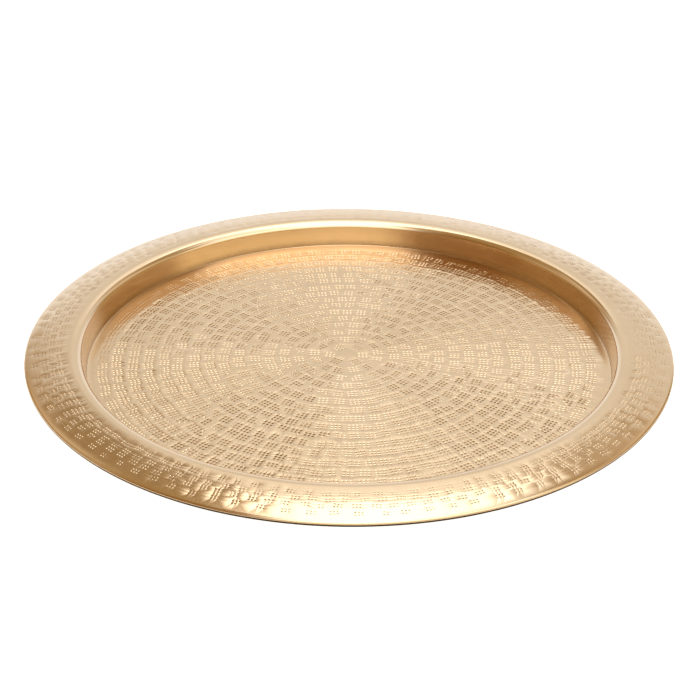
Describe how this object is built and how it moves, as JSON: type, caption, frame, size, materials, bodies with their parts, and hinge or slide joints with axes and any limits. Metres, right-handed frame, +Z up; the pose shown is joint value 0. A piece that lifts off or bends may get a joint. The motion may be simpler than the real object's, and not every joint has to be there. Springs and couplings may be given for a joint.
{
  "type": "round brass serving tray",
  "caption": "Round brass tray with a flat punched floor, low upright wall, broad sloping rim and a wired edge, on felt feet.",
  "frame": {"origin": "centre of the plane that the felt feet rest on, on the tray's axis", "axes": "+Z up along the axis of the round; X and Y lie across the tray, between the feet"},
  "size_m": [0.5, 0.5, 0.0244],
  "materials": {
    "brass_sheet": "satin, lightly brushed and lacquered",
    "wire": "drawn wire, dull",
    "felt": "pressed wool felt"
  },
  "bodies": {
    "root": {"tray_pan": "brass_sheet", "edge_wire": "wire", "felt_foot_1": "felt", "felt_foot_2": "felt", "felt_foot_3": "felt", "felt_foot_4": "felt"}
  },
  "joints": []
}
